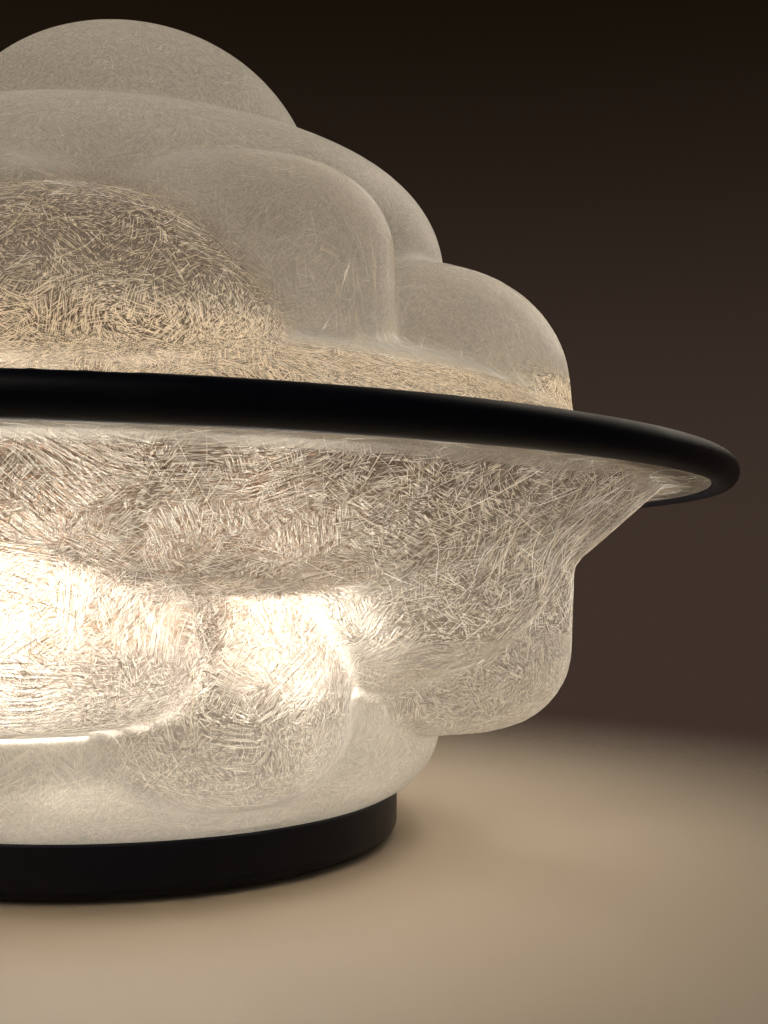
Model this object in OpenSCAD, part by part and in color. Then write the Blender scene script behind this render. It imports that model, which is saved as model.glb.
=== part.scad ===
// Low floor lamp: two glass-fibre shells, each a cluster of rounded swells, meet at a black rim ring.
// The lower shell stands on a black base disc and holds three screw-in bulbs. The upper shell lifts off.
// Origin: centre of the footprint, on the floor. +Z up, the photographed front faces -Y.

/* [Rim ring] */
// Outer radius of the rim ring
ring_r = 325; // [318:1:345]
// Thickness of the ring's round section
ring_t = 15; // [14:0.5:18]
// Height of the ring's middle plane above the floor
ring_z = 190; // [186:1:205]

/* [Shells] */
// Thickness of the glass-fibre wall
wall = 4; // [3:0.5:5]
// Width of the flat flange at the edge of each shell
flange_w = 25; // [22:1:32]
// Height of the round top above the ring plane
top_height = 247; // [236:1:262]
// Rise of the upper bowl above the ring plane
upper_rise = 54; // [50:1:60]
// Slope of the upper bowl's side
upper_slope = 30; // [28:1:34]
// Drop of the lower bowl below the ring plane
lower_rise = 60; // [56:1:64]
// Slope of the lower bowl's side
lower_slope = 42; // [38:1:44]
// Radius of the hole in the lower shell's floor
floor_hole_r = 100; // [96:1:104]
// Rounding of the valleys between the swells
valley = 5; // [3:0.5:12]
// Thickness of the foam strip between the flanges
gasket_t = 1.6; // [1.2:0.1:2]
// Width of the foam strip
gasket_w = 10; // [8:0.5:14]

/* [Base] */
// Radius of the base disc
base_r = 152; // [150:1:160]
// Height of the base disc without its feet
base_h = 24; // [23:0.5:26]
// Thickness of the base's rim wall
base_wall = 12; // [10:0.5:14]
// Thickness of the base's top plate
plate_t = 5; // [4:0.5:6]
// Radius of the base's rounded lower edge
edge_r = 6; // [4:0.5:7]
// Thickness of the bottom cover
cover_t = 1.5; // [1:0.1:2]
// Height that the rubber feet lift the base
foot_h = 2; // [1.5:0.1:2.5]
// Radius of a rubber foot
foot_r = 10; // [8:0.5:12]

/* [Lamp cluster] */
// Radius of the circle that the bulbs stand on
cluster_r = 92; // [86:1:98]
// Height of the bracket's underside above the floor
bracket_z = 44; // [42:1:48]
// Thickness of the bracket
bracket_t = 3; // [2:0.5:4]
// Radius of the threaded stem
stem_r = 5; // [4.5:0.1:5.5]
// Radius of the bore in the stem
stem_bore_r = 3.5; // [3.3:0.1:3.8]
// Outer radius of a lampholder
holder_r = 22; // [20:0.5:24]
// Radius of a bulb's screw cap
cap_r = 13.2; // [12.8:0.1:13.4]
// Height of a bulb's screw cap
cap_h = 24; // [22:1:26]
// Radius of a bulb's round glass
bulb_r = 30; // [28:0.5:34]

/* [Cord inlet and switch] */
// Radius of the bore in the cord gland
gland_bore_r = 4; // [3:0.1:4.4]
// Outer radius of the gland's and the switch's bodies
fitting_r = 6; // [5.8:0.1:6.2]
// Radius of the push button
button_r = 3.5; // [3:0.1:3.8]
// Travel of the push button
button_travel = 2.2; // [1.5:0.1:2.5]

/* [Hidden] */
$fn = 96;

// Colours
glass_fibre = "#EFE6D2";
black_paint = "#17161A";
zinc = "#B9BCC0";
brass = "#C9A24B";
porcelain = "#F2F0EA";
black_plastic = "#1B1B1D";

// Clearances
lift_gap = 0.4;      // between pieces that part when the upper shell lifts
edge_gap = 0.5;      // around the flanges' edges in the ring
hole_gap = 0.1;      // around screws, the stem and the fittings
thread_gap = 0.4;    // between a bulb's cap and its screw shell
slide_gap = 0.35;    // around the push button

// Seam: the foam strip fills it, short of the lift gap
seam = gasket_t + lift_gap;
flange_lap = 4;
flange_r = ring_r - ring_t + flange_lap;
flange_in_r = flange_r - flange_w;
groove_r = flange_r + edge_gap;
lower_top = ring_z - seam / 2;

// Swells of each shell: angle from the front, distance from the axis, radius, height from the ring plane,
// shoulder radius, crown radius and wall draft. Each stands twice, the second time half a turn on.
upper_swells = [
    [-34, 132, 93, 124, 30, 490, 4],
    [-7, 156, 100, 108, 88, 125, 8],
    [19, 156, 65, 126, 36, 490, 2],
    [66, 145, 98, 109, 62, 260, 5],
];
lower_swells = [
    [-20, 145, 104, 118, 26, 390, 3],
    [16, 150, 58, 150, 39, 490, 2],
    [47, 145, 114, 110, 101, 136, 12],
    [72, 153, 91, 133, 42, 390, 2],
];
upper_tier = [0, 0, 175, 188, 52, 374, 2];
lower_tier = [0, 0, 175, 177, 38, 975, 2];
top_dome = [0, 0, 105, top_height, 94, 117, 0];
bowl_shoulder = 98;
bowl_crown = 6500;

// Grid of a shell's skin
columns = 80;
skin_steps = 22;
trace_start = 1.15 * ring_r;

// Base levels
base_z = foot_h;
base_top = base_z + base_h;
plate_z = base_top - plate_t;
cover_gap = 0.5;
cover_z = base_z + cover_gap;
cover_lap = 1.5;
cover_r = base_r - base_wall + cover_lap;
cover_screw_r = 1.6;
cover_screw_h = 10;
cover_head_r = 3;
cover_head_h = 1.4;
post_r = 4.5;
post_circle = base_r - base_wall - 2 * post_r + 1;
foot_circle = base_r - base_wall - 2 * foot_r;
top_chamfer = 1;
seat = ring_z - base_top;

// Clamp ring over the lower shell's floor
clamp_inset = 16;
clamp_lap = 22;
clamp_in_r = floor_hole_r - clamp_inset;
clamp_out_r = floor_hole_r + clamp_lap;
clamp_t = 3;
clamp_screw_inset = 9;
clamp_screw_circle = floor_hole_r - clamp_screw_inset;
clamp_screws_n = 6;
clamp_screw_r = 2.5;
clamp_head_r = 4.5;
clamp_head_h = 3;
screw_end = 2;

// Lamp cluster levels
lamp_angles = [74, 194, 314];
holder_z = bracket_z + bracket_t;
holder_floor = 8;
contact_t = 0.8;
contact_z = holder_z + holder_floor;
contact_r = 5;
button_contact_r = 4.5;
button_contact_h = 1.9;
contact_gap = 0.3;
button_contact_z = contact_z + contact_t + contact_gap;
cap_z = button_contact_z + button_contact_h;
glass_z = cap_z + cap_h;
rim_over = 1;
holder_h = glass_z + rim_over - holder_z;
glass_t = 1;
neck_r = cap_r;
bulb_drop = 0.6 * bulb_r;
neck_h = 22;
bulb_z = glass_z + neck_h + bulb_drop;
shell_in_r = cap_r + thread_gap;
sleeve_t = 0.7;
sleeve_short = 3;
shell_out_r = shell_in_r + sleeve_t;
holder_screw_x = cap_r - 3.7;
holder_screw_r = 1.6;
holder_head_r = 2.8;
holder_head_h = 1.6;
hub_r = holder_r;
arm_w = 24;
nut_h = 6;
nut_af_r = 9.2;
stem_under = 6;
stem_over = 7;
stem_z = plate_z - nut_h - stem_under;
stem_top = holder_z + nut_h + stem_over;
block_r = 14;
block_h = 14;
block_z = holder_z + nut_h;
lead_r = 1.2;
lead_drop = 7;

// Fittings in the base's rear wall
fitting_rise = 10.5;
fitting_z = base_z + fitting_rise;
spot_depth = 1.2;
fitting_face = base_r - spot_depth;
fitting_reach = 12;
fitting_in = base_r - base_wall - fitting_reach;
fitting_nut_t = 4;
fitting_nut_r = fitting_r + 2.2;
gland_flange_r = fitting_r + 2;
gland_flange_t = 3.2;
bezel_r = fitting_r + 1.2;
bezel_t = 1.8;
button_proud = button_travel + 0.8;
button_edge = 0.6;
collar_r = button_r + 0.7;
collar_t = 2;
switch_angle = 30;
spot_gap = 0.4;

// A swell made ready for measuring: centre, shoulder and crown centres, radii, and the wall's direction
function swell(s) =
    let (xs = s[2] - s[4], zc = s[3] - s[5], zs = zc + sqrt((s[5] - s[4]) ^ 2 - xs ^ 2))
    [s[1] * sin(s[0]), -s[1] * cos(s[0]), xs, zc, zs, s[4], s[5], cos(s[6]), sin(s[6])];

// The bowl is a wide swell whose sloping side runs through the flange's inner edge
function bowl(rise, slope) =
    let (
        zs = rise - bowl_shoulder,
        reach = bowl_shoulder - (seam / 2 + wall - zs) * cos(slope),
        xs = flange_in_r - reach / sin(slope)
    )
    [0, 0, xs, zs - sqrt((bowl_crown - bowl_shoulder) ^ 2 - xs ^ 2), zs, bowl_shoulder, bowl_crown,
     sin(slope), cos(slope)];

function turned(s, turn) = [s[0] + turn, s[1], s[2], s[3], s[4], s[5], s[6]];
function twice(swells) = [for (s = swells, turn = [0, 180]) swell(turned(s, turn))];

upper_form = concat(
    [bowl(upper_rise, upper_slope), swell(upper_tier), swell(top_dome)],
    twice(upper_swells)
);
lower_form = concat([bowl(lower_rise, lower_slope), swell(lower_tier)], twice(lower_swells));

// Distance from a point to one swell's surface: to its crown, its side wall or its shoulder
function swell_gap(p, s) =
    let (r = norm([p[0] - s[0], p[1] - s[1]]), dx = r - s[2], dz = p[2] - s[4], dc = p[2] - s[3])
    dc > 0 && r * (s[4] - s[3]) < dc * s[2] ? norm([r, dc]) - s[6]
    : dz * s[7] < dx * s[8] ? dx * s[7] + dz * s[8] - s[5]
    : norm([dx, dz]) - s[5];

// The lesser of two distances, eased where they are alike, which rounds the valley between two swells
function eased_min(a, b) = min(a, b) - max(valley - abs(a - b), 0) ^ 2 / valley / 4;

// Distance from a point to the whole form
function form_gap(p, form, i = 0, least = 1000) =
    i == len(form) ? least : form_gap(p, form, i + 1, eased_min(least, swell_gap(p, form[i])));

// Radius at which a ray from the shell's centre meets the form, found by stepping in from outside
function meet(ray, form, inset, r = trace_start, steps = 40) =
    let (gap = form_gap(ray * r, form) + inset)
    steps == 0 || gap < 0.02 ? r : meet(ray, form, inset, r - gap, steps - 1);

function ray(azimuth, rise) = [cos(rise) * sin(azimuth), -cos(rise) * cos(azimuth), sin(rise)];
function azimuth(i) = 360 * i / columns;
function flat_ring(r, z) = [for (i = [0 : columns - 1]) [r * sin(azimuth(i)), -r * cos(azimuth(i)), z]];

// One ring of skin points at a given rise, cut off flat at the floor's height
function skin_ring(form, rise, inset, floor) = [
    for (i = [0 : columns - 1])
        let (way = ray(azimuth(i), rise))
        way * min(meet(way, form, inset), rise > 0 ? (floor - inset) / sin(rise) : trace_start)
];

// Closes a stack of rings into a solid, with a point at each end or joined end to end
module skin(rings, poles = [], outward = true) {
    n = columns;
    m = len(rings);
    points = concat([for (r = rings) each r], poles);
    band = [
        for (j = [0 : m - (len(poles) > 0 ? 2 : 1)], i = [0 : n - 1])
            let (row = j * n, above = ((j + 1) % m) * n, k = (i + 1) % n)
            each [[row + i, row + k, above + k], [row + i, above + k, above + i]]
    ];
    caps = len(poles) == 0 ? [] : [
        for (i = [0 : n - 1])
            each [[m * n, (i + 1) % n, i], [m * n + 1, (m - 1) * n + i, (m - 1) * n + (i + 1) % n]]
    ];
    faces = concat(band, caps);
    polyhedron(points, outward ? faces : [for (f = faces) [f[2], f[1], f[0]]]);
}

function lip_rise(z, r) = atan(z / r);

// Glass-fibre upper shell: flange, bowl, swells, tier and round top
module upper_shell() {
    low = seam / 2;
    out_rise = lip_rise(low + wall, flange_in_r);
    in_rise = lip_rise(low, flange_in_r - wall / 2);
    outer = [
        for (k = [0 : skin_steps - 1])
            skin_ring(upper_form, out_rise + (90 - out_rise) * k / skin_steps, 0, trace_start)
    ];
    inner = [
        for (k = [skin_steps - 1 : -1 : 0])
            skin_ring(upper_form, in_rise + (90 - in_rise) * k / skin_steps, wall, trace_start)
    ];
    top = top_dome[3];
    color(glass_fibre) translate([0, 0, ring_z])
        skin(
            concat(inner, [flat_ring(flange_r, low), flat_ring(flange_r, low + wall)], outer),
            [[0, 0, top - wall], [0, 0, top]],
            outward = false
        );
}

// Glass-fibre lower shell: the same make, turned over, with a flat floor and a round hole in it
module lower_shell() {
    low = seam / 2;
    out_rise = lip_rise(low + wall, flange_in_r);
    in_rise = lip_rise(low, flange_in_r - wall / 2);
    out_end = lip_rise(seat, floor_hole_r);
    in_end = lip_rise(seat - wall, floor_hole_r);
    outer = [
        for (k = [0 : skin_steps])
            skin_ring(lower_form, out_rise + (out_end - out_rise) * k / skin_steps, 0, seat)
    ];
    inner = [
        for (k = [skin_steps : -1 : 0])
            skin_ring(lower_form, in_rise + (in_end - in_rise) * k / skin_steps, wall, seat)
    ];
    color(glass_fibre) translate([0, 0, ring_z]) mirror([0, 0, 1])
        skin(
            concat(inner, [flat_ring(flange_r, low), flat_ring(flange_r, low + wall)], outer),
            outward = false
        );
}

// Places children at an angle from the front and a distance from the axis
module at_front(angle, distance) {
    rotate(angle) translate([0, -distance, 0]) children();
}

module ring_of(n, distance) {
    for (i = [0 : n - 1]) at_front(360 * (i + 0.5) / n, distance) children();
}

// Plain ring or tube
module ring(r_out, r_in, h) {
    difference() {
        cylinder(r = r_out, h = h);
        translate([0, 0, -1]) cylinder(r = r_in, h = h + 2);
    }
}

// Black rim ring: round section with a step that takes both flanges' edges
module rim_ring() {
    color(black_paint) difference() {
        translate([0, 0, ring_z]) rotate_extrude()
            translate([ring_r - ring_t / 2, 0]) circle(d = ring_t);
        translate([0, 0, lower_top - wall]) cylinder(r = groove_r, h = wall + ring_t);
    }
}

// Foam strip on the lower flange
module flange_gasket() {
    middle = (flange_r + flange_in_r) / 2;
    color(black_plastic) translate([0, 0, lower_top])
        ring(middle + gasket_w / 2, middle - gasket_w / 2, gasket_t);
}

// Bores through the base's rear wall, with a flat seat outside each
module fitting_hole(seat_r) {
    translate([0, fitting_in, fitting_z]) rotate([-90, 0, 0])
        cylinder(r = fitting_r + hole_gap, h = base_r - fitting_in + 1);
    translate([0, fitting_face, fitting_z]) rotate([-90, 0, 0])
        cylinder(r = seat_r + spot_gap, h = spot_depth + 1);
}

// Black base disc: turned, hollow underneath, lower edge rounded
module base_disc() {
    rim = base_r - edge_r;
    edge = [for (a = [0 : 15 : 90]) [rim + edge_r * sin(a), base_z + edge_r * (1 - cos(a))]];
    recess_r = base_r - base_wall;
    ledge_r = cover_r + cover_gap;
    ledge_z = cover_z + cover_t;
    color(black_paint) difference() {
        union() {
            rotate_extrude() polygon(concat(
                [[0, plate_z], [recess_r, plate_z], [recess_r, ledge_z]],
                [[ledge_r, ledge_z], [ledge_r, base_z]],
                edge,
                [[base_r, base_top - top_chamfer], [base_r - top_chamfer, base_top], [0, base_top]]
            ));
            ring_of(4, post_circle)
                translate([0, 0, ledge_z]) cylinder(r = post_r, h = plate_z - ledge_z + 1);
        }
        translate([0, 0, plate_z - 1]) cylinder(r = stem_r + hole_gap, h = plate_t + 2);
        ring_of(clamp_screws_n, clamp_screw_circle)
            translate([0, 0, plate_z - 1]) cylinder(r = clamp_screw_r + hole_gap, h = plate_t + 2);
        ring_of(4, post_circle) translate([0, 0, base_z])
            cylinder(r = cover_screw_r + hole_gap, h = cover_screw_h + screw_end);
        fitting_hole(gland_flange_r);
        rotate(switch_angle) fitting_hole(bezel_r);
    }
}

// Sheet-steel bottom cover
module base_cover() {
    color(zinc) translate([0, 0, cover_z]) difference() {
        cylinder(r = cover_r, h = cover_t);
        ring_of(4, post_circle)
            translate([0, 0, -1]) cylinder(r = cover_screw_r + hole_gap, h = cover_t + 2);
    }
}

// A pan-head screw standing on z = 0, its shank below
module screw(shank_r, shank_h, head_r, head_h) {
    cylinder(r = head_r, h = head_h);
    translate([0, 0, -shank_h]) cylinder(r = shank_r, h = shank_h + 0.1);
}

module cover_screws() {
    color(zinc) ring_of(4, post_circle)
        translate([0, 0, cover_z]) mirror([0, 0, 1])
            screw(cover_screw_r, cover_screw_h, cover_head_r, cover_head_h);
}

// Rubber feet under the cover
module feet() {
    color(black_plastic) for (a = [0 : 90 : 270]) at_front(a, foot_circle) cylinder(r = foot_r, h = cover_z);
}

// Steel ring that clamps the lower shell's floor to the base
module shell_clamp_ring() {
    color(zinc) translate([0, 0, base_top + wall]) difference() {
        ring(clamp_out_r, clamp_in_r, clamp_t);
        ring_of(clamp_screws_n, clamp_screw_circle)
            translate([0, 0, -1]) cylinder(r = clamp_screw_r + hole_gap, h = clamp_t + 2);
    }
}

module clamp_screws() {
    shank = clamp_t + wall + plate_t + screw_end;
    color(zinc) ring_of(clamp_screws_n, clamp_screw_circle)
        translate([0, 0, base_top + wall + clamp_t]) screw(clamp_screw_r, shank, clamp_head_r, clamp_head_h);
}

// Threaded stem from the base plate to the bracket
module stem() {
    color(zinc) translate([0, 0, stem_z]) ring(stem_r, stem_bore_r, stem_top - stem_z);
}

module hex_nut() {
    difference() {
        cylinder(r = nut_af_r, h = nut_h, $fn = 6);
        translate([0, 0, -1]) cylinder(r = stem_r + hole_gap / 2, h = nut_h + 2);
    }
}

// Nuts either side of the base plate and of the bracket
module stem_nuts() {
    color(zinc) for (z = [plate_z - nut_h, base_top, bracket_z - nut_h, holder_z])
        translate([0, 0, z]) hex_nut();
}

// Three-armed steel bracket
module lamp_bracket() {
    color(zinc) translate([0, 0, bracket_z]) difference() {
        union() {
            cylinder(r = hub_r, h = bracket_t);
            for (a = lamp_angles) {
                rotate(a) translate([-arm_w / 2, -cluster_r, 0]) cube([arm_w, cluster_r, bracket_t]);
                at_front(a, cluster_r) cylinder(r = holder_r, h = bracket_t);
            }
        }
        translate([0, 0, -1]) cylinder(r = stem_r + hole_gap, h = bracket_t + 2);
        for (a = lamp_angles, side = [-1, 1]) at_front(a, cluster_r + side * holder_screw_x)
            translate([0, 0, -1]) cylinder(r = holder_screw_r + hole_gap, h = bracket_t + 2);
    }
}

// Porcelain lampholder
module lampholder(a) {
    color(porcelain) at_front(a, cluster_r) translate([0, 0, holder_z]) difference() {
        rotate_extrude() polygon([
            [0, 0], [holder_r - 2, 0], [holder_r, 2], [holder_r, 16], [holder_r - 3, 20],
            [holder_r - 3, holder_h - 1], [holder_r - 4, holder_h], [shell_out_r + hole_gap, holder_h],
            [shell_out_r + hole_gap, holder_floor], [0, holder_floor],
        ]);
        for (side = [-1, 1]) translate([0, side * holder_screw_x, -1])
            cylinder(r = holder_screw_r + hole_gap, h = holder_floor + 2);
    }
}

// Brass sleeves that take the bulbs' caps
module screw_shells() {
    color(brass) for (a = lamp_angles) at_front(a, cluster_r)
        translate([0, 0, contact_z]) ring(shell_out_r, shell_in_r, holder_h - holder_floor - sleeve_short);
}

// Brass discs that touch the caps' tips
module centre_contacts() {
    color(brass) for (a = lamp_angles) at_front(a, cluster_r)
        translate([0, 0, contact_z]) cylinder(r = contact_r, h = contact_t);
}

module holder_screws() {
    color(zinc) for (a = lamp_angles, side = [-1, 1]) at_front(a, cluster_r + side * holder_screw_x)
        translate([0, 0, contact_z])
            screw(holder_screw_r, holder_floor + bracket_t + screw_end, holder_head_r, holder_head_h);
}

// Screw cap of a bulb, with rounded threads and a contact at the tip
module bulb_cap(a) {
    pitch = 3.6;
    turns = 4;
    thread_z = 4;
    threads = [for (k = [0 : turns - 1]) each [
        [cap_r - 1.2, thread_z + k * pitch], [cap_r, thread_z + (k + 0.35) * pitch],
        [cap_r, thread_z + (k + 0.65) * pitch],
    ]];
    color(brass) at_front(a, cluster_r) translate([0, 0, cap_z]) rotate_extrude() polygon(concat(
        [[0, -button_contact_h], [button_contact_r, -button_contact_h], [button_contact_r, 0]],
        [[cap_r - 4, 0]],
        threads,
        [[cap_r - 1.2, thread_z + turns * pitch], [cap_r, cap_h], [0, cap_h]]
    ));
}

// Hollow glass of a bulb: a round globe on a tapering neck
module bulb_glass(a) {
    meet_r = sqrt(bulb_r ^ 2 - bulb_drop ^ 2);
    color(porcelain) at_front(a, cluster_r) translate([0, 0, glass_z]) difference() {
        union() {
            cylinder(r1 = neck_r, r2 = meet_r, h = neck_h);
            translate([0, 0, bulb_z - glass_z]) sphere(bulb_r);
        }
        translate([0, 0, -glass_t])
            cylinder(r1 = neck_r - glass_t, r2 = meet_r - glass_t, h = neck_h + glass_t);
        translate([0, 0, bulb_z - glass_z]) sphere(bulb_r - glass_t);
    }
}

// Round terminal block on the bracket's top nut, around the stem's end
module terminal_block() {
    color(porcelain) translate([0, 0, block_z]) ring(block_r, stem_r + hole_gap, block_h);
}

// Point and direction along a lead, in the plane of its bracket arm: a smooth step down to the lampholder
function lead_point(t) = [
    block_r + (cluster_r - holder_r - block_r) * t,
    0,
    block_z + block_h / 2 - lead_drop * (3 * t ^ 2 - 2 * t ^ 3),
];
function lead_way(t) = [cluster_r - holder_r - block_r, 0, -lead_drop * 6 * (t - t ^ 2)];

// A lead: an eight-sided tube along that line, its two ends upright
module lead() {
    sides = 8;
    steps = 10;
    points = [
        for (k = [0 : steps], j = [0 : sides - 1])
            let (way = lead_way(k / steps) / norm(lead_way(k / steps)), a = 360 * j / sides)
            lead_point(k / steps) + lead_r * (cos(a) * [0, 1, 0] + sin(a) * [-way[2], 0, way[0]])
    ];
    tube = [
        for (k = [0 : steps - 1], j = [0 : sides - 1])
            let (a = k * sides + j, b = k * sides + (j + 1) % sides)
            each [[a, b, b + sides], [a, b + sides, a + sides]]
    ];
    ends = [
        for (j = [1 : sides - 2])
            each [[0, j + 1, j], [steps * sides, steps * sides + j, steps * sides + j + 1]]
    ];
    polyhedron(points, concat(tube, ends));
}

// Leads from the terminal block to each lampholder
module lamp_leads() {
    color("#D8D4CC") for (a = lamp_angles) rotate(a - 90) lead();
}

// Along the rear wall's bore, facing out, with z = 0 at the flat seat
module at_rear(angle) {
    rotate(angle) translate([0, fitting_face, fitting_z]) rotate([-90, 0, 0]) children();
}

// Cord gland in the rear of the base
module cable_gland() {
    depth = fitting_face - fitting_in;
    color(black_plastic) at_rear(0) difference() {
        union() {
            translate([0, 0, -depth]) cylinder(r = fitting_r, h = depth);
            cylinder(r = gland_flange_r, h = gland_flange_t);
        }
        translate([0, 0, -depth - 1]) cylinder(r = gland_bore_r, h = depth + gland_flange_t + 2);
    }
}

// Ring nut behind the base's wall
module fitting_nut(angle) {
    wall_in = fitting_face - sqrt((base_r - base_wall) ^ 2 - fitting_nut_r ^ 2);
    color(zinc) at_rear(angle) translate([0, 0, -wall_in - fitting_nut_t])
        ring(fitting_nut_r, fitting_r + hole_gap / 2, fitting_nut_t);
}

module gland_nut() {
    fitting_nut(0);
}

module switch_nut() {
    fitting_nut(switch_angle);
}

// Housing of the push switch
module switch_housing() {
    depth = fitting_face - fitting_in;
    collar_room = collar_t + button_travel + 2 * slide_gap;
    color(black_plastic) at_rear(switch_angle) difference() {
        union() {
            translate([0, 0, -depth]) cylinder(r = fitting_r, h = depth);
            cylinder(r = bezel_r, h = bezel_t);
        }
        translate([0, 0, -collar_room]) cylinder(r = collar_r + slide_gap, h = collar_room);
        translate([0, 0, -collar_room]) cylinder(r = button_r + slide_gap, h = collar_room + bezel_t + 1);
    }
}

// Push button with a collar that keeps it in the housing
module switch_button() {
    color(black_plastic) at_rear(switch_angle) rotate_extrude() polygon([
        [0, -collar_t - slide_gap], [collar_r, -collar_t - slide_gap], [collar_r, -slide_gap],
        [button_r, -slide_gap], [button_r, bezel_t + button_proud - button_edge],
        [button_r - button_edge, bezel_t + button_proud], [0, bezel_t + button_proud],
    ]);
}

base_disc();
base_cover();
cover_screws();
feet();
lower_shell();
shell_clamp_ring();
clamp_screws();
rim_ring();
flange_gasket();
upper_shell();
stem();
stem_nuts();
lamp_bracket();
lampholder(lamp_angles[0]);  // lampholder_1
lampholder(lamp_angles[1]);  // lampholder_2
lampholder(lamp_angles[2]);  // lampholder_3
screw_shells();
centre_contacts();
holder_screws();
bulb_cap(lamp_angles[0]);  // bulb_cap_1
bulb_cap(lamp_angles[1]);  // bulb_cap_2
bulb_cap(lamp_angles[2]);  // bulb_cap_3
bulb_glass(lamp_angles[0]);  // bulb_glass_1
bulb_glass(lamp_angles[1]);  // bulb_glass_2
bulb_glass(lamp_angles[2]);  // bulb_glass_3
terminal_block();
lamp_leads();
cable_gland();
gland_nut();
switch_housing();
switch_nut();
switch_button();
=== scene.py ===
import bpy
import numpy as np
from mathutils import Matrix


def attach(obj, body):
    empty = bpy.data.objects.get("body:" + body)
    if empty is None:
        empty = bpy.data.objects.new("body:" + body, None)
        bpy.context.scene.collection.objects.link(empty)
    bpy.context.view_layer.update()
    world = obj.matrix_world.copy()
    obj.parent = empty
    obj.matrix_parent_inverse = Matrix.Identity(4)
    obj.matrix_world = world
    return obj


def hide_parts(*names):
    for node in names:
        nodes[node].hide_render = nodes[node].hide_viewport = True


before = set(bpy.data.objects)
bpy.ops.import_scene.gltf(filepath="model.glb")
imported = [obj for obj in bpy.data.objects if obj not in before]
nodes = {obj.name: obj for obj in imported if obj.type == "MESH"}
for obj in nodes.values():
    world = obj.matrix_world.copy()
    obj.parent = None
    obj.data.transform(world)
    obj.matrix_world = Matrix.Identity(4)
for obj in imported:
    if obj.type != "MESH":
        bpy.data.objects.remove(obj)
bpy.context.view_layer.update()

# Camera
# It stands close in front of the lamp, below the height of the ring, and looks a little up and to the right,
# so that the lamp is cropped at the left. The photograph is 768 x 1024 pixels.
EYE = np.array((0.0, -0.66095, 0.14076))
YAW, PITCH, ROLL = np.radians((12.53, 2.92, 0.61))
FOCAL_PIXELS, PHOTO_HEIGHT, SENSOR_MM = 1172.9, 1024, 36.0

ahead = np.array((np.sin(YAW) * np.cos(PITCH), np.cos(YAW) * np.cos(PITCH), np.sin(PITCH)))
level_side = np.array((np.cos(YAW), -np.sin(YAW), 0.0))
level_up = np.cross(level_side, ahead)
side = np.cos(ROLL) * level_side + np.sin(ROLL) * level_up
above = np.cos(ROLL) * level_up - np.sin(ROLL) * level_side

lens = bpy.data.cameras.new("camera")
lens.sensor_width = SENSOR_MM
lens.lens = FOCAL_PIXELS / PHOTO_HEIGHT * SENSOR_MM
camera = bpy.data.objects.new("camera", lens)
camera.matrix_world = Matrix(np.vstack((np.column_stack((side, above, -ahead, EYE)), (0, 0, 0, 1))).tolist())
bpy.context.scene.collection.objects.link(camera)
bpy.context.scene.camera = camera

# Base disc
# A turned steel disc, hollow underneath, that the lower shell is clamped to. It is powder coated in satin
# black, which leaves a faint orange-peel skin.


def linear(code):
    """An sRGB hex colour as linear red, green, blue and an alpha of 1."""
    srgb = np.array([int(code[i:i + 2], 16) for i in (1, 3, 5)]) / 255
    low, high = srgb / 12.92, ((srgb + 0.055) / 1.055) ** 2.4
    return (*np.where(srgb <= 0.04045, low, high).tolist(), 1.0)


def put(tree, kind, sockets=None, **settings):
    """Adds a node with its settings. A socket's value is a number or colour, or another node's output, which
    is linked."""
    added = tree.nodes.new("ShaderNode" + kind)
    for name, value in settings.items():
        setattr(added, name, value)
    for name, value in (sockets or {}).items():
        if isinstance(value, bpy.types.NodeSocket):
            tree.links.new(value, added.inputs[name])
        else:
            added.inputs[name].default_value = value
    return added


def blank(name):
    """A new material with an empty node tree."""
    made = bpy.data.materials.new(name)
    made.use_nodes = True
    made.node_tree.nodes.clear()
    return made, made.node_tree


def dress(material, *names):
    """Gives CAD nodes a material."""
    for name in names:
        nodes[name].data.materials.clear()
        nodes[name].data.materials.append(material)


# Satin black powder coat: low, broad gloss over a fine orange peel, about 1.5 mm from crest to crest
powder_coat, tree = blank("satin_black_powder_coat")
spot = put(tree, "TexCoord").outputs["Object"]
peel = put(tree, "TexNoise", {"Vector": spot, "Scale": 650.0, "Detail": 2.0}).outputs[0]
rubbed = put(tree, "TexNoise", {"Vector": spot, "Scale": 22.0, "Detail": 4.0}).outputs[0]
gloss = put(tree, "MapRange", {"Value": rubbed, 1: 0.3, 2: 0.7, 3: 0.36, 4: 0.5}).outputs[0]
shade = put(tree, "Mix", {0: rubbed, 6: linear("#02050e"), 7: linear("#060b1a")}, data_type="RGBA").outputs[2]
skin = put(tree, "Bump", {"Height": peel, "Strength": 0.12, "Distance": 0.0004}).outputs[0]
coat = put(tree, "BsdfPrincipled", {"Base Color": shade, "Roughness": gloss, "Normal": skin, "IOR": 1.5,
    "Specular IOR Level": 0.2})
put(tree, "OutputMaterial", {"Surface": coat.outputs[0]})
dress(powder_coat, "base_disc")

# Underside: cover, screws and feet
# A zinc-plated sheet closes the base, held by four pan-head screws, and four rubber feet stand under it.

# Zinc-plated steel: pale grey metal with the soft blotches of its passivated layer
zinc_plate, tree = blank("zinc_plated_steel")
spot = put(tree, "TexCoord").outputs["Object"]
bloom = put(tree, "TexNoise", {"Vector": spot, "Scale": 60.0, "Detail": 5.0}).outputs[0]
tone = put(tree, "Mix", {0: bloom, 6: linear("#a9acb0"), 7: linear("#cfcdc4")}, data_type="RGBA").outputs[2]
gloss = put(tree, "MapRange", {"Value": bloom, 1: 0.3, 2: 0.7, 3: 0.26, 4: 0.44}).outputs[0]
steel = put(tree, "BsdfPrincipled", {"Base Color": tone, "Roughness": gloss, "Metallic": 1.0})
put(tree, "OutputMaterial", {"Surface": steel.outputs[0]})
dress(zinc_plate, "base_cover", "cover_screws")

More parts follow.
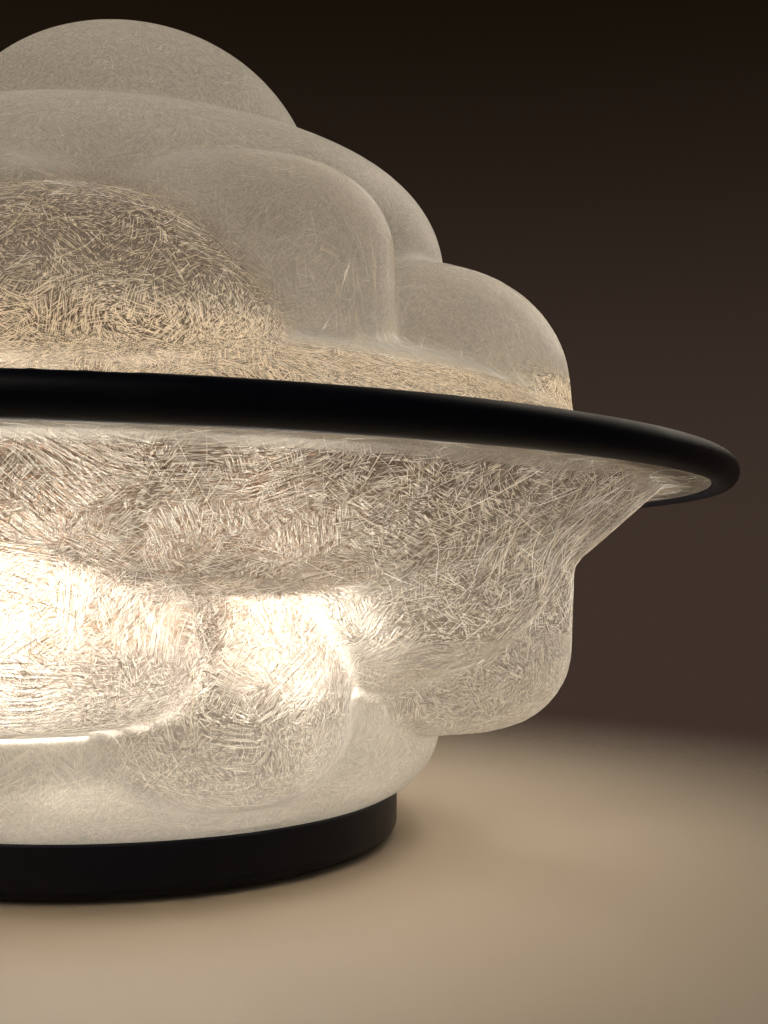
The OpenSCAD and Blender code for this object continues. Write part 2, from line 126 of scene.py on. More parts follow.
# Black rubber: dull, with a fine moulded grain about 1 mm apart
rubber, tree = blank("moulded_black_rubber")
spot = put(tree, "TexCoord").outputs["Object"]
grain = put(tree, "TexNoise", {"Vector": spot, "Scale": 900.0, "Detail": 3.0}).outputs[0]
shade = put(tree, "Mix", {0: grain, 6: linear("#141414"), 7: linear("#242322")}, data_type="RGBA").outputs[2]
skin = put(tree, "Bump", {"Height": grain, "Strength": 0.3, "Distance": 0.0003}).outputs[0]
soft = put(tree, "BsdfPrincipled", {"Base Color": shade, "Roughness": 0.78, "Normal": skin})
put(tree, "OutputMaterial", {"Surface": soft.outputs[0]})
dress(rubber, "feet")

# Lower shell
# A 4 mm wall of chopped glass strands in clear polyester resin, laid over a mould: a flange, a shallow bowl
# and rounded swells around a straight-sided tier, with a flat floor that is clamped to the base. Lengths are
# in millimetres until a piece is made.
MM = 0.001
RING_PLANE = 190.0
WALL, SEAM = 4.0, 2.0
FLANGE_R, FLANGE_IN_R = 314.0, 289.0
VALLEY = 5.0
BOWL_SHOULDER, BOWL_CROWN = 98.0, 6500.0
SEAT, FLOOR_HOLE_R = 164.0, 100.0
COLUMNS, OUTER_ROWS, INNER_ROWS = 420, 200, 24
TRACE_START, TRACE_STEPS = 374.0, 60
CREASE = np.radians(50)


def swell(angle, distance, radius, height, shoulder, crown, draft):
    """A swell ready for measuring. It is round about an upright axis: a crown arc on top, a shoulder arc that
    leaves it smoothly, and a side wall that leans out by the draft. Gives the axis, the shoulder arc's
    centre, the crown arc's centre, both radii, and the wall's direction."""
    turn, lean = np.radians((angle, draft))
    across, crown_z = radius - shoulder, height - crown
    shoulder_z = crown_z + np.sqrt((crown - shoulder) ** 2 - across ** 2)
    return (distance * np.sin(turn), -distance * np.cos(turn), across, crown_z, shoulder_z,
            shoulder, crown, np.cos(lean), np.sin(lean))


def bowl(rise, slope):
    """The bowl as a wide swell, whose straight side at that slope runs through the flange's inner edge."""
    lean = np.radians(slope)
    shoulder_z = rise - BOWL_SHOULDER
    reach = BOWL_SHOULDER - (SEAM / 2 + WALL - shoulder_z) * np.cos(lean)
    across = FLANGE_IN_R - reach / np.sin(lean)
    crown_z = shoulder_z - np.sqrt((BOWL_CROWN - BOWL_SHOULDER) ** 2 - across ** 2)
    return 0.0, 0.0, across, crown_z, shoulder_z, BOWL_SHOULDER, BOWL_CROWN, np.sin(lean), np.cos(lean)


def form_gap(points, form):
    """Distance from points to a cluster of swells. For each swell it is the distance to the crown arc, the
    side wall or the shoulder arc, whichever faces the point. The least of them counts, eased by a parabola
    where two are alike, which rounds the valley between two swells."""
    least = np.full(points.shape[:-1], 1000.0)
    x, y, z = np.moveaxis(points, -1, 0)
    for axis_x, axis_y, across, crown_z, shoulder_z, shoulder, crown, wall_cos, wall_sin in form:
        r = np.hypot(x - axis_x, y - axis_y)
        dx, dz, dc = r - across, z - shoulder_z, z - crown_z
        gap = np.where(dz * wall_cos < dx * wall_sin, dx * wall_cos + dz * wall_sin - shoulder,
                       np.hypot(dx, dz) - shoulder)
        gap = np.where((dc > 0) & (r * (shoulder_z - crown_z) < dc * across), np.hypot(r, dc) - crown, gap)
        ease = np.maximum(VALLEY - np.abs(least - gap), 0)
        least = np.minimum(least, gap) - ease ** 2 / VALLEY / 4
    return least


def skin_rows(form, rises, inset, floor):
    """Rows of points on a shell's skin, over azimuth and rise. Each lies on a ray from the shell's centre,
    found by stepping in from outside by the distance that is left, and is cut off flat at the floor."""
    azimuth, rise = np.meshgrid(np.arange(COLUMNS) * 2 * np.pi / COLUMNS, rises)
    ways = np.stack((np.cos(rise) * np.sin(azimuth), -np.cos(rise) * np.cos(azimuth), np.sin(rise)), -1)
    r = np.full(rise.shape, TRACE_START)
    for _ in range(TRACE_STEPS):
        r -= form_gap(ways * r[..., None], form) + inset
    return ways * np.minimum(r, (floor - inset) / np.maximum(np.sin(rise), 1e-6))[..., None]


def flat_row(r, z):
    """One level row of points at radius r and height z."""
    azimuth = np.arange(COLUMNS) * 2 * np.pi / COLUMNS
    return np.stack((r * np.sin(azimuth), -r * np.cos(azimuth), np.full(COLUMNS, z)), -1)[None]


def shell_rows(form, outer_end, inner_end, floor, end_row):
    """All rows of a shell, from the end of its outer skin over the flange's edge to its inner skin's end."""
    low = SEAM / 2
    out_rise, in_rise = np.arctan2((low + WALL, low), (FLANGE_IN_R, FLANGE_IN_R - WALL / 2))
    outer = skin_rows(form, np.linspace(outer_end, out_rise, OUTER_ROWS + 1)[1 - end_row:], 0.0, floor)
    in_rises = np.linspace(in_rise, inner_end, INNER_ROWS + 1)[:INNER_ROWS + end_row]
    inner = skin_rows(form, in_rises, WALL, floor)
    edge = flat_row(FLANGE_R, low + WALL), flat_row(FLANGE_R, low)
    return np.concatenate((outer, *edge, inner)), len(outer) + 1


def shell_piece(name, rows, outer_rows, poles, upright):
    """A closed shell from its rows. Each row is joined to the next, the ends are closed by a pole or by each
    other, and heights count from the ring's plane, up or down. The wall casts no shadow, so that the bulbs'
    light reaches the floor through it without noise."""
    count, around = rows.shape[:2]
    index = np.arange(count * around).reshape(count, around)
    last = index if len(poles) == 0 else index[:-1]
    after = np.roll(index, -1, 0)[:len(last)]
    quads = np.stack((last, after, np.roll(after, -1, 1), np.roll(last, -1, 1)), -1).reshape(-1, 4)
    points = rows.reshape(-1, 3)
    faces = quads.tolist()
    if len(poles):
        fan = np.stack((index[0], np.roll(index[0], -1), np.full(around, len(points))), -1)
        inner_fan = np.stack((np.roll(index[-1], -1), index[-1], np.full(around, len(points) + 1)), -1)
        faces += fan.tolist() + inner_fan.tolist()
        points = np.concatenate((points, poles))
    if not upright:
        points = points * (1, 1, -1)
        faces = [face[::-1] for face in faces]
    mesh = bpy.data.meshes.new(name)
    mesh.from_pydata(((points + (0, 0, RING_PLANE)) * MM).tolist(), [], faces)
    inside = np.zeros(len(faces), int)
    inside[outer_rows * around:len(quads)] = 1
    if len(poles):
        inside[len(quads) + around:] = 1
    mesh.polygons.foreach_set("material_index", inside)
    mesh.shade_smooth()
    mesh.set_sharp_from_angle(angle=CREASE)
    piece = bpy.data.objects.new(name, mesh)
    piece.visible_shadow = False
    bpy.context.scene.collection.objects.link(piece)
    return piece


def twice(*swells):
    """Swells, and the same again half a turn on."""
    return [swell(angle + turn, *rest) for angle, *rest in swells for turn in (0, 180)]


lower_form = [bowl(60, 42), swell(0, 0, 175, 177, 38, 975, 2), *twice(
    (-20, 145, 104, 118, 26, 390, 3), (16, 150, 58, 150, 39, 490, 2),
    (47, 145, 114, 110, 101, 136, 12), (72, 153, 91, 133, 42, 390, 2))]
lower_rows, lower_outer = shell_rows(
    lower_form, np.arctan2(SEAT, FLOOR_HOLE_R), np.arctan2(SEAT - WALL, FLOOR_HOLE_R), SEAT, 1)
lower_shell = shell_piece("lower_shell_skin", lower_rows, lower_outer, (), upright=False)

# Glass-fibre polyester, mould side: chopped strands lie in patches, each in a direction of its own, so light
# comes through in fine pale streaks between amber resin. On the tiers and most swells the resin stands
# thicker over the glass, and the wall looks frosted. Heights and radii are in metres.
PATCHES_MM = 9.0, 16.0, 27.0
BUNDLE_RATIO, BUNDLE_SHARE = 3.0, 1.5
SWAY_SCALE, SWAY = 30.0, 0.007
SMOKY, SQUAT, SHARP = 0.62, 1.1, 0.006
LOW_FROSTED_Z, LOW_STRANDED_Z = 0.03, 0.115
LIP_R, LIP_BLEND = 0.283, 0.004
BOWL_Z, SWELL_Z = 0.234, 0.244
VEIL_FROM_Z, VEIL_TO_Z = 0.228, 0.24
SPARSE_FROM_Z, SPARSE_TO_Z, SPARSE, STREAK_EDGE = 0.232, 0.25, 0.58, 0.12
HAZE_FROM_Z, HAZE_TO_Z, LEAST_HAZE, MOST_HAZE = 0.295, 0.42, 0.28, 0.95


def lay_up(name, strand, shine, streak_mm, length_mm, frosted_r, stranded_r, cover, foot, smoky):
    """The laminate of one shell. Its streaks are noise, drawn out along a direction in the surface that each
    patch of a cell pattern has by chance. Three such layers cross, and the highest shows where it passes the
    cover value, in the strand colour, with the shine as its share of scattered light. The frosted part lies
    inside a radius, above the bowl, on the lip and low down. Smoky places, each a centre, a reach and a blend,
    lie between both, or have the foot value below the swells."""
    made, tree = blank(name)
    spot = put(tree, "TexCoord").outputs["Object"]
    facing = put(tree, "NewGeometry").outputs["Normal"]
    sway = put(tree, "TexNoise", {"Vector": spot, "Scale": SWAY_SCALE, "Detail": 1.0}).outputs["Color"]
    bent = put(tree, "VectorMath", {0: sway, 1: (SWAY,) * 3, 2: spot}, operation="MULTIPLY_ADD").outputs[0]
    streaks = []
    for patch_mm in PATCHES_MM:
        cell = put(tree, "TexVoronoi", {"Vector": bent, "Scale": 1 / (patch_mm * MM)}).outputs
        chance = put(tree, "VectorMath", {0: cell["Color"], 1: (0.5,) * 3}, operation="SUBTRACT").outputs[0]
        upright = put(tree, "VectorMath", {0: chance, 1: facing}, operation="PROJECT").outputs[0]
        flat = put(tree, "VectorMath", {0: chance, 1: upright}, operation="SUBTRACT").outputs[0]
        lay = put(tree, "VectorMath", {0: flat}, operation="NORMALIZE").outputs[0]
        local = put(tree, "VectorMath", {0: bent, 1: cell["Position"]}, operation="SUBTRACT").outputs[0]
        along = put(tree, "VectorMath", {0: local, 1: lay}, operation="DOT_PRODUCT").outputs["Value"]
        pull = put(tree, "VectorMath", {0: lay, "Scale": along}, operation="SCALE").outputs[0]
        own = put(tree, "VectorMath", {0: local, 1: cell["Color"]}, operation="ADD").outputs[0]
        drawn = put(tree, "VectorMath", {
            0: pull, 1: (streak_mm / length_mm - 1,) * 3, 2: own}, operation="MULTIPLY_ADD").outputs[0]
        streaks.append(put(tree, "TexNoise", {
            "Vector": drawn, "Scale": 1 / (streak_mm * MM), "Detail": 1.0}).outputs[0])
    pair = put(tree, "Math", {0: streaks[0], 1: streaks[1]}, operation="MAXIMUM").outputs[0]
    crest = put(tree, "Math", {0: pair, 1: streaks[2]}, operation="MAXIMUM").outputs[0]
    bundle = put(tree, "TexNoise", {
        "Vector": drawn, "Scale": 1 / (BUNDLE_RATIO * streak_mm * MM)}).outputs[0]
    height = put(tree, "Math", {0: bundle, 1: BUNDLE_SHARE, 2: crest}, operation="MULTIPLY_ADD").outputs[0]

    # Where strands show: 0 is frosted, 1 is stranded
    level = put(tree, "VectorMath", {0: spot, 1: (1.0, 1.0, 0.0)}, operation="MULTIPLY").outputs[0]
    away = put(tree, "VectorMath", {0: level}, operation="LENGTH").outputs["Value"]
    rise = put(tree, "SeparateXYZ", {0: spot}).outputs["Z"]
    beside = put(tree, "MapRange", {"Value": away, 1: frosted_r, 2: stranded_r}).outputs[0]
    below = put(tree, "MapRange", {"Value": rise, 1: BOWL_Z, 2: SWELL_Z, 3: beside, 4: 0.0}).outputs[0]
    bare = put(tree, "MapRange", {
        "Value": away, 1: LIP_R, 2: LIP_R + LIP_BLEND, 3: below, 4: 0.0}).outputs[0]
    squat = put(tree, "VectorMath", {0: spot, 1: (1.0, 1.0, SQUAT)}, operation="MULTIPLY").outputs[0]
    veil = put(tree, "MapRange", {
        "Value": rise, 1: VEIL_FROM_Z, 2: VEIL_TO_Z, 3: foot, 4: SMOKY}).outputs[0]
    for (x, y, z), reach, blend in smoky:
        apart = put(tree, "VectorMath", {
            0: squat, 1: (x, y, z * SQUAT)}, operation="DISTANCE").outputs["Value"]
        bare = put(tree, "MapRange", {
            "Value": apart, 1: reach, 2: reach + blend, 3: veil, 4: bare}).outputs[0]
    shown = put(tree, "MapRange", {
        "Value": rise, 1: LOW_FROSTED_Z, 2: LOW_STRANDED_Z, 3: 0.0, 4: bare}).outputs[0]

    # Colours of both parts
    cloud = put(tree, "TexNoise", {"Vector": spot, "Scale": 34.0, "Detail": 3.0}).outputs[0]
    resin = put(tree, "Mix", {
        0: cloud, 6: linear("#4a3120"), 7: linear("#6b4c35")}, data_type="RGBA").outputs[2]
    least = put(tree, "MapRange", {
        "Value": rise, 1: SPARSE_FROM_Z, 2: SPARSE_TO_Z, 3: cover, 4: SPARSE}).outputs[0]
    most = put(tree, "Math", {0: least, 1: STREAK_EDGE}, operation="ADD").outputs[0]
    bright = put(tree, "MapRange", {"Value": crest, 1: least, 2: most}).outputs[0]
    laid = put(tree, "Mix", {0: bright, 6: resin, 7: linear(strand)}, data_type="RGBA").outputs[2]
    mottle = put(tree, "MapRange", {"Value": crest, 1: 0.48, 2: 0.64}).outputs[0]
    thick = put(tree, "Mix", {
        0: mottle, 6: linear("#a69d90"), 7: linear("#cbc2b2")}, data_type="RGBA").outputs[2]
    speck = put(tree, "MapRange", {"Value": crest, 1: 0.68, 2: 0.78}).outputs[0]
    frost = put(tree, "Mix", {0: speck, 6: thick, 7: linear("#efe3cb")}, data_type="RGBA").outputs[2]
    face = put(tree, "Mix", {0: shown, 6: frost, 7: laid}, data_type="RGBA").outputs[2]

    # Gloss, relief and scattered light: the frosted wall is thinner towards the top, and glows more there
    gloss = put(tree, "MapRange", {"Value": shown, 3: 0.38, 4: 0.2}).outputs[0]
    relief = put(tree, "MapRange", {"Value": shown, 3: 0.2, 4: 0.8}).outputs[0]
    dry = put(tree, "MapRange", {"Value": bright, 3: 0.01, 4: shine}).outputs[0]
    haze = put(tree, "MapRange", {
        "Value": rise, 1: HAZE_FROM_Z, 2: HAZE_TO_Z, 3: LEAST_HAZE, 4: MOST_HAZE}).outputs[0]
    milk = put(tree, "MapRange", {"Value": shown, 3: haze, 4: dry}).outputs[0]
    skin = put(tree, "Bump", {"Height": height, "Strength": relief, "Distance": 0.0008}).outputs[0]
    body = put(tree, "BsdfPrincipled", {
        "Base Color": face, "Roughness": gloss, "Normal": skin, "IOR": 1.45, "Transmission Weight": 0.8})
    glow = put(tree, "BsdfTranslucent", {"Color": face, "Normal": skin})
    wall = put(tree, "MixShader", {0: milk, 1: body.outputs[0], 2: glow.outputs[0]})
    put(tree, "OutputMaterial", {"Surface": wall.outputs[0]})
    return made


# Glass-fibre polyester, laid side: thinner in resin, so it is half see-through where light goes in
laid_side, tree = blank("glass_fibre_laid_side")
spot = put(tree, "TexCoord").outputs["Object"]
weave = put(tree, "TexNoise", {"Vector": spot, "Scale": 120.0, "Detail": 3.0}).outputs[0]
tone = put(tree, "Mix", {0: weave, 6: linear("#8c8478"), 7: linear("#aaa296")}, data_type="RGBA").outputs[2]
body = put(tree, "BsdfPrincipled", {
    "Base Color": tone, "Roughness": 0.3, "IOR": 1.45, "Transmission Weight": 0.8})
glow = put(tree, "BsdfTranslucent", {"Color": tone})
wall = put(tree, "MixShader", {0: 0.08, 1: body.outputs[0], 2: glow.outputs[0]})
put(tree, "OutputMaterial", {"Surface": wall.outputs[0]})

# Smoky places of the lower shell: the bowl at the right, and the two swells below it, each twice
lower_laminate = lay_up(
    "glass_fibre_polyester_lower", strand="#f4ead9", shine=0.8, streak_mm=0.46, length_mm=12.0,
    frosted_r=0.176, stranded_r=0.184, cover=0.54, foot=SMOKY, smoky=[
        ((0.2, -0.19, 0.165), 0.02, 0.11), ((-0.2, 0.19, 0.165), 0.02, 0.11),
        ((0.106, -0.099, 0.1835), 0.116, SHARP), ((-0.106, 0.099, 0.1835), 0.116, SHARP),
        ((0.1455, -0.047, 0.13), 0.1, SHARP), ((-0.1455, 0.047, 0.13), 0.1, SHARP)])
lower_shell.data.materials.append(lower_laminate)
lower_shell.data.materials.append(laid_side)
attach(lower_shell, "base")
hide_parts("lower_shell")

# Strands of the lower shell
# Single bundles of glass, 12 to 60 mm long, that stand proud of the resin skin and catch the light. Each is a
# slender three-sided spindle, bent along the wall. They stay clear of the ring and of the tier.
RING_CLEAR_R, TIER_CLEAR_R = 310.5, 181.0
MOST_BRIDGE, MOST_DIP = 0.4, 0.8
LENGTH_SPREAD, WIDTH_SPREAD = (0.6, 1.4), (0.5, 1.5)
BEND, SUNK = 0.016, 0.1


def surface_gap(points, form):
    """Distance to a shell's outside: its cluster of swells, or the top of its flange."""
    return np.minimum(form_gap(points, form), points[..., 2] - SEAM / 2 - WALL)


def surface_normal(points, form):
    """Direction away from the surface: the slope of the distance, from steps of 0.2 mm each way."""
    step = 0.2 * np.eye(3)
    slope = np.stack([surface_gap(points + s, form) - surface_gap(points - s, form) for s in step], -1)
    return slope / np.linalg.norm(slope, axis=-1, keepdims=True)


def strand_piece(name, form, rows, upright, seed, count, stations, length, width):
    """Strands laid at random on a shell. Each starts at a spot chosen by area, walks along the surface in a
    random direction with a steady bend, and is drawn as a spindle: a left, a right and a raised middle line
    that meet at both tips. Like the wall, strands cast no shadow."""
    rng = np.random.default_rng(seed)
    a, b, c, d = rows[:-1], rows[1:], np.roll(rows[1:], -1, 1), np.roll(rows[:-1], -1, 1)
    area = np.linalg.norm(np.cross(c - a, d - b), axis=-1).ravel()
    pick = rng.choice(area.size, count, p=area / area.sum())
    u, v = rng.random((2, count, 1))
    corners = [part.reshape(-1, 3)[pick] for part in (a, b, c, d)]
    spot = (1 - u) * ((1 - v) * corners[0] + v * corners[1]) + u * ((1 - v) * corners[3] + v * corners[2])
    step = length * rng.uniform(*LENGTH_SPREAD, (count, 1)) / (stations - 1)
    bend = rng.normal(0, BEND, (count, 1)) * step
    way = rng.normal(size=(count, 3))
    line, ups, sides = [], [], []
    for _ in range(stations):
        for _ in range(2):
            up = surface_normal(spot, form)
            spot = spot - surface_gap(spot, form)[:, None] * up
        way = way - (way * up).sum(1, keepdims=True) * up
        way = way / np.linalg.norm(way, axis=1, keepdims=True)
        across = np.cross(up, way)
        line.append(spot)
        ups.append(up)
        sides.append(across)
        way = way * np.cos(bend) + across * np.sin(bend)
        spot = spot + way * step
    line, up, across = (np.stack(part, 1) for part in (line, ups, sides))
    fits = (np.hypot(line[..., 0], line[..., 1]) < RING_CLEAR_R) & (line[..., 2] > SEAM / 2 + WALL - SUNK)
    fits &= np.hypot(line[..., 0], line[..., 1]) > TIER_CLEAR_R
    bridge = surface_gap((line[:, 1:] + line[:, :-1]) / 2, form)
    fits = fits.all(1) & (bridge < MOST_BRIDGE).all(1) & (bridge > -MOST_DIP).all(1)
    line, up, across = (part[fits] for part in (line, up, across))
    half = width / 2 * rng.uniform(*WIDTH_SPREAD, (len(line), 1, 1))
    middle = slice(1, stations - 1)
    left = line[:, middle] + half * across[:, middle] - SUNK * up[:, middle]
    right = line[:, middle] - half * across[:, middle] - SUNK * up[:, middle]
    crest = line[:, middle] + half * up[:, middle]
    rails = np.stack((left, right, crest), 2).reshape(len(line), -1, 3)
    points = np.concatenate((line[:, :1], rails, line[:, -1:]), 1)
    per = points.shape[1]
    ring = 1 + 3 * np.arange(stations - 3)[:, None]
    edge, after = np.arange(3), (np.arange(3) + 1) % 3
    quads = np.stack((ring + edge, ring + after, ring + after + 3, ring + edge + 3), -1).reshape(-1, 4)
    tips = np.concatenate((
        np.stack((0 * edge, 1 + after, 1 + edge), -1),
        np.stack((0 * edge + per - 1, per - 4 + edge, per - 4 + after), -1)))
    first = per * np.arange(len(line))[:, None, None]
    faces = (first + quads).reshape(-1, 4).tolist() + (first + tips).reshape(-1, 3).tolist()
    points = points.reshape(-1, 3)
    if not upright:
        points = points * (1, 1, -1)
        faces = [face[::-1] for face in faces]
    mesh = bpy.data.meshes.new(name)
    mesh.from_pydata(((points + (0, 0, RING_PLANE)) * MM).tolist(), [], faces)
    mesh.shade_smooth()
    piece = bpy.data.objects.new(name, mesh)
    piece.visible_shadow = False
    bpy.context.scene.collection.objects.link(piece)
    return piece


# Dry glass strand: white bundles that the resin didn't fill, which scatter light
dry_strand, tree = blank("dry_glass_strand")
spot = put(tree, "TexCoord").outputs["Object"]
mottle = put(tree, "TexNoise", {"Vector": spot, "Scale": 45.0, "Detail": 2.0}).outputs[0]
tone = put(tree, "Mix", {0: mottle, 6: linear("#f3ede0"), 7: linear("#fffdf9")}, data_type="RGBA").outputs[2]
shine = put(tree, "BsdfPrincipled", {"Base Color": tone, "Roughness": 0.28, "IOR": 1.54})
through = put(tree, "BsdfTranslucent", {"Color": tone})
fibre = put(tree, "MixShader", {0: 0.5, 1: shine.outputs[0], 2: through.outputs[0]})
put(tree, "OutputMaterial", {"Surface": fibre.outputs[0]})

# Wetted glass strand: bundles full of resin, nearly clear, with a smooth amber shine
wet_strand, tree = blank("resin_wetted_glass_strand")
spot = put(tree, "TexCoord").outputs["Object"]
mottle = put(tree, "TexNoise", {"Vector": spot, "Scale": 45.0, "Detail": 2.0}).outputs[0]
tone = put(tree, "Mix", {0: mottle, 6: linear("#d8c7a6"), 7: linear("#efe3cc")}, data_type="RGBA").outputs[2]
shine = put(tree, "BsdfPrincipled", {"Base Color": tone, "Roughness": 0.2, "IOR": 1.54})
through = put(tree, "BsdfTranslucent", {"Color": tone})
fibre = put(tree, "MixShader", {0: 0.4, 1: shine.outputs[0], 2: through.outputs[0]})
put(tree, "OutputMaterial", {"Surface": fibre.outputs[0]})

# Each row: name, material, how many are tried, stations, mean length and mean width in mm
LOWER_STRANDS = (
    ("long", dry_strand, 900, 6, 44.0, 0.26),
    ("short", dry_strand, 7000, 5, 20.0, 0.18),
    ("wetted", wet_strand, 2500, 6, 32.0, 0.2),
)
for seed, (name, material, *laid) in enumerate(LOWER_STRANDS, 11):
    strands = strand_piece(f"lower_{name}_strands", lower_form, lower_rows[:lower_outer], False, seed, *laid)
    strands.data.materials.append(material)
    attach(strands, "base")

# Clamp ring
# A flat zinc-plated ring that presses the shell's floor onto the base, with six pan-head screws.
dress(zinc_plate, "shell_clamp_ring", "clamp_screws")

# Rim ring
# A round black ring, 650 mm across and 15 mm thick, with a step that takes the edges of both flanges.
dress(powder_coat, "rim_ring")

# Flange gasket
# A strip of closed-cell foam that the upper shell's flange rests on, so that it doesn't rattle.

# Closed-cell foam: dark grey with cells under 1 mm, drawn at 1.2 mm so that they show
foam, tree = blank("closed_cell_foam")
spot = put(tree, "TexCoord").outputs["Object"]
cells = put(tree, "TexVoronoi", {"Vector": spot, "Scale": 830.0}).outputs[0]
shade = put(tree, "Mix", {0: cells, 6: linear("#1a1a1b"), 7: linear("#303032")}, data_type="RGBA").outputs[2]
skin = put(tree, "Bump", {"Height": cells, "Strength": 0.4, "Distance": 0.0004}).outputs[0]
soft = put(tree, "BsdfPrincipled", {"Base Color": shade, "Roughness": 0.9, "Normal": skin})
put(tree, "OutputMaterial", {"Surface": soft.outputs[0]})
dress(foam, "flange_gasket")

# Stem, nuts and bracket
# A threaded steel tube rises from the base plate and carries a flat three-armed bracket between hexagon nuts.
dress(zinc_plate, "stem", "stem_nuts", "lamp_bracket")

# Lampholders, contacts and terminal block
# Glazed porcelain holders screwed to the bracket's arms, lined with brass sleeves, and a porcelain block on
# the stem where the leads are joined.

# Glazed porcelain: cool white under a smooth clear glaze that is slightly uneven
porcelain, tree = blank("glazed_porcelain")
spot = put(tree, "TexCoord").outputs["Object"]
pool = put(tree, "TexNoise", {"Vector": spot, "Scale": 90.0, "Detail": 2.0}).outputs[0]
tone = put(tree, "Mix", {0: pool, 6: linear("#e9e6de"), 7: linear("#f6f4ee")}, data_type="RGBA").outputs[2]
skin = put(tree, "Bump", {"Height": pool, "Strength": 0.1, "Distance": 0.001}).outputs[0]
glaze = put(tree, "BsdfPrincipled", {
    "Base Color": tone, "Roughness": 0.16, "Normal": skin, "Coat Weight": 0.6, "Coat Roughness": 0.06})
put(tree, "OutputMaterial", {"Surface": glaze.outputs[0]})
dress(porcelain, "lampholder_1", "lampholder_2", "lampholder_3", "terminal_block")

# Brass: yellow metal with a slight tarnish in patches
brass, tree = blank("drawn_brass")
spot = put(tree, "TexCoord").outputs["Object"]
tarnish = put(tree, "TexNoise", {"Vector": spot, "Scale": 150.0, "Detail": 4.0}).outputs[0]
tone = put(tree, "Mix", {0: tarnish, 6: linear("#a07a35"), 7: linear("#d8b15a")}, data_type="RGBA").outputs[2]
gloss = put(tree, "MapRange", {"Value": tarnish, 1: 0.3, 2: 0.7, 3: 0.34, 4: 0.2}).outputs[0]
metal = put(tree, "BsdfPrincipled", {"Base Color": tone, "Roughness": gloss, "Metallic": 1.0})
put(tree, "OutputMaterial", {"Surface": metal.outputs[0]})
dress(brass, "screw_shells", "centre_contacts")
dress(zinc_plate, "holder_screws")

# Leads
# Heat-proof braided sleeves over the wires from the terminal block to each lampholder.

# Glass-braid sleeve: off-white yarns, about 1 mm apart, that cross round the wire
braid, tree = blank("glass_braid_sleeve")
spot = put(tree, "TexCoord").outputs["Object"]
yarn = put(tree, "TexWave", {
    "Vector": spot, "Scale": 0.1 * np.pi / 0.001, "Distortion": 3.0}, bands_direction="DIAGONAL").outputs[1]
tone = put(tree, "Mix", {0: yarn, 6: linear("#b9b3a6"), 7: linear("#ebe6da")}, data_type="RGBA").outputs[2]
skin = put(tree, "Bump", {"Height": yarn, "Strength": 0.5, "Distance": 0.0003}).outputs[0]
cover = put(tree, "BsdfPrincipled", {"Base Color": tone, "Roughness": 0.8, "Normal": skin})
put(tree, "OutputMaterial", {"Surface": cover.outputs[0]})
dress(braid, "lamp_leads")

# Bulbs
# Three round opal bulbs on screw caps. The glass is coated white inside and glows warm and evenly.
BULB_STRENGTH = 25.0

# Aluminium cap: rolled thin sheet, bright, with fine rings left by the rolling
cap_metal, tree = blank("rolled_aluminium_cap")
spot = put(tree, "TexCoord").outputs["Object"]
rolled = put(tree, "TexNoise", {"Vector": spot, "Scale": 300.0, "Detail": 3.0}).outputs[0]
tone = put(tree, "Mix", {0: rolled, 6: linear("#c3c4c5"), 7: linear("#e0e0de")}, data_type="RGBA").outputs[2]
gloss = put(tree, "MapRange", {"Value": rolled, 1: 0.3, 2: 0.7, 3: 0.22, 4: 0.34}).outputs[0]
metal = put(tree, "BsdfPrincipled", {"Base Color": tone, "Roughness": gloss, "Metallic": 1.0})
put(tree, "OutputMaterial", {"Surface": metal.outputs[0]})
dress(cap_metal, "bulb_cap_1", "bulb_cap_2", "bulb_cap_3")

# Opal glass: smooth white glass, lit from within, its coating very slightly cloudy
opal, tree = blank("opal_glass")
spot = put(tree, "TexCoord").outputs["Object"]
haze = put(tree, "TexNoise", {"Vector": spot, "Scale": 60.0, "Detail": 2.0}).outputs[0]
tone = put(tree, "Mix", {0: haze, 6: linear("#fffaf4"), 7: linear("#fffdfa")}, data_type="RGBA").outputs[2]
globe = put(tree, "BsdfPrincipled", {
    "Base Color": linear("#f7efe2"), "Roughness": 0.12, "Emission Color": tone,
    "Emission Strength": BULB_STRENGTH})
put(tree, "OutputMaterial", {"Surface": globe.outputs[0]})
dress(opal, "bulb_glass_1", "bulb_glass_2", "bulb_glass_3")

# Cord gland and push switch
# Moulded fittings in the rear wall of the base, each held by a ring nut inside.

# Moulded nylon: black, fine spark-eroded grain about 0.8 mm apart
nylon, tree = blank("moulded_black_nylon")
spot = put(tree, "TexCoord").outputs["Object"]
grain = put(tree, "TexNoise", {"Vector": spot, "Scale": 1200.0, "Detail": 2.0}).outputs[0]
shade = put(tree, "Mix", {0: grain, 6: linear("#111113"), 7: linear("#1d1d20")}, data_type="RGBA").outputs[2]
skin = put(tree, "Bump", {"Height": grain, "Strength": 0.25, "Distance": 0.0002}).outputs[0]
case = put(tree, "BsdfPrincipled", {"Base Color": shade, "Roughness": 0.5, "Normal": skin})
put(tree, "OutputMaterial", {"Surface": case.outputs[0]})
dress(nylon, "cable_gland", "switch_housing", "switch_button")
dress(zinc_plate, "gland_nut", "switch_nut")

# Upper shell
# The same laminate: a flange, a bowl, rounded swells, a straight-sided tier and a round top. It rests on the
# gasket inside the ring's step and lifts off to reach the bulbs.
TOP = 247.0
upper_form = [bowl(54, 30), swell(0, 0, 175, 188, 52, 374, 2), swell(0, 0, 105, TOP, 94, 117, 0), *twice(
    (-34, 132, 93, 124, 30, 490, 4), (-7, 156, 100, 108, 88, 125, 8),
    (19, 156, 65, 126, 36, 490, 2), (66, 145, 98, 109, 62, 260, 5))]
upper_rows, upper_outer = shell_rows(upper_form, np.pi / 2, np.pi / 2, TRACE_START, 0)
upper_shell = shell_piece(
    "upper_shell_skin", upper_rows, upper_outer, np.array(((0, 0, TOP), (0, 0, TOP - WALL))), upright=True)
